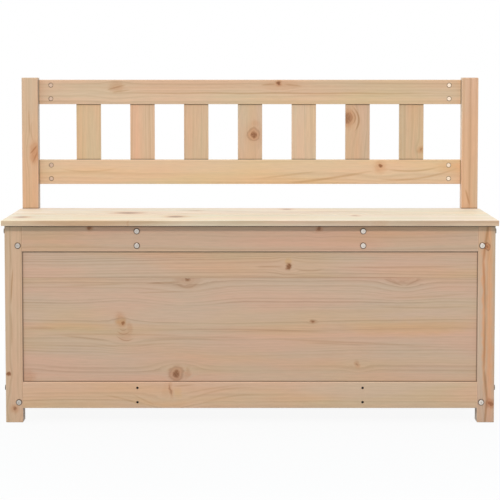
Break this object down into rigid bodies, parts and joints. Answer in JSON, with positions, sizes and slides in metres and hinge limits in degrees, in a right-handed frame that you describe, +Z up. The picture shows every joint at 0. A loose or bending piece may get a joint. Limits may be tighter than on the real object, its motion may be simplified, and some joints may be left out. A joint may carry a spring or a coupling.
{
  "type": "storage bench",
  "caption": "Free-standing pine storage bench with a slatted backrest, panelled box base and a hinged front seat board that lifts to open the box.",
  "frame": {"origin": "on the floor, under the middle of the whole bench's box", "axes": "+X to the bench's left-hand end seen from behind (right in a front view), +Y to the back, +Z up"},
  "size_m": [1.09, 0.3822, 0.76],
  "materials": {
    "pine_frame": "clear, close-grained, lightly sanded natural pine",
    "pine_panel": "clear, close-grained, lightly sanded natural pine",
    "pine_seat": "clear, close-grained, lightly sanded natural pine",
    "pine_backrest": "clear, close-grained, lightly sanded natural pine",
    "dowel_beech": "fluted beech, unfinished",
    "bolt_steel": "bright zinc plate",
    "nut_steel": "zinc plate",
    "hinge_steel": "zinc plate",
    "screw_steel": "black phosphate"
  },
  "bodies": {
    "bench": {"back_bearer_bolts": "bolt_steel", "back_bottom_rail": "pine_frame", "back_panel": "pine_panel", "back_post_left": "pine_backrest", "back_post_right": "pine_backrest", "back_rail_bolts": "bolt_steel", "back_rail_nuts": "nut_steel", "back_side_rail_bolts": "bolt_steel", "back_top_rail": "pine_frame", "backrest_bolts": "bolt_steel", "backrest_lower_rail": "pine_backrest", "backrest_nuts": "nut_steel", "backrest_slat_1": "pine_backrest", "backrest_slat_2": "pine_backrest", "backrest_slat_3": "pine_backrest", "backrest_slat_4": "pine_backrest", "backrest_slat_5": "pine_backrest", "backrest_slat_6": "pine_backrest", "backrest_slat_7": "pine_backrest", "backrest_top_rail": "pine_backrest", "bearer_nuts": "nut_steel", "fixed_seat_board": "pine_seat", "floor_bearer_left": "pine_frame", "floor_bearer_right": "pine_frame", "floor_bearer_screws": "screw_steel", "floor_board": "pine_panel", "front_bearer_bolts": "bolt_steel", "front_bottom_rail": "pine_frame", "front_leg_left": "pine_frame", "front_leg_right": "pine_frame", "front_panel": "pine_panel", "front_rail_bolts": "bolt_steel", "front_rail_nuts": "nut_steel", "front_side_rail_bolts": "bolt_steel", "front_top_rail": "pine_frame", "hinge_fixed_leaves": "hinge_steel", "hinge_fixed_screws": "hinge_steel", "hinge_pins": "hinge_steel", "left_bottom_rail": "pine_frame", "left_panel": "pine_panel", "left_top_rail": "pine_frame", "long_rail_dowels": "dowel_beech", "right_bottom_rail": "pine_frame", "right_panel": "pine_panel", "right_top_rail": "pine_frame", "seat_bearer_left": "pine_frame", "seat_bearer_right": "pine_frame", "seat_board_screws": "screw_steel", "side_rail_dowels": "dowel_beech", "side_rail_nuts": "nut_steel"},
    "lid": {"seat_lid": "pine_seat", "hinge_lid_leaves": "hinge_steel", "hinge_lid_screws": "hinge_steel"}
  },
  "joints": [
    {"name": "lid_hinge", "type": "hinge", "parent": "bench", "child": "lid", "pos_m": [0, -0.0133, 0.4473], "axis": [-1, 0, 0], "range_deg": [0, 105]}
  ]
}
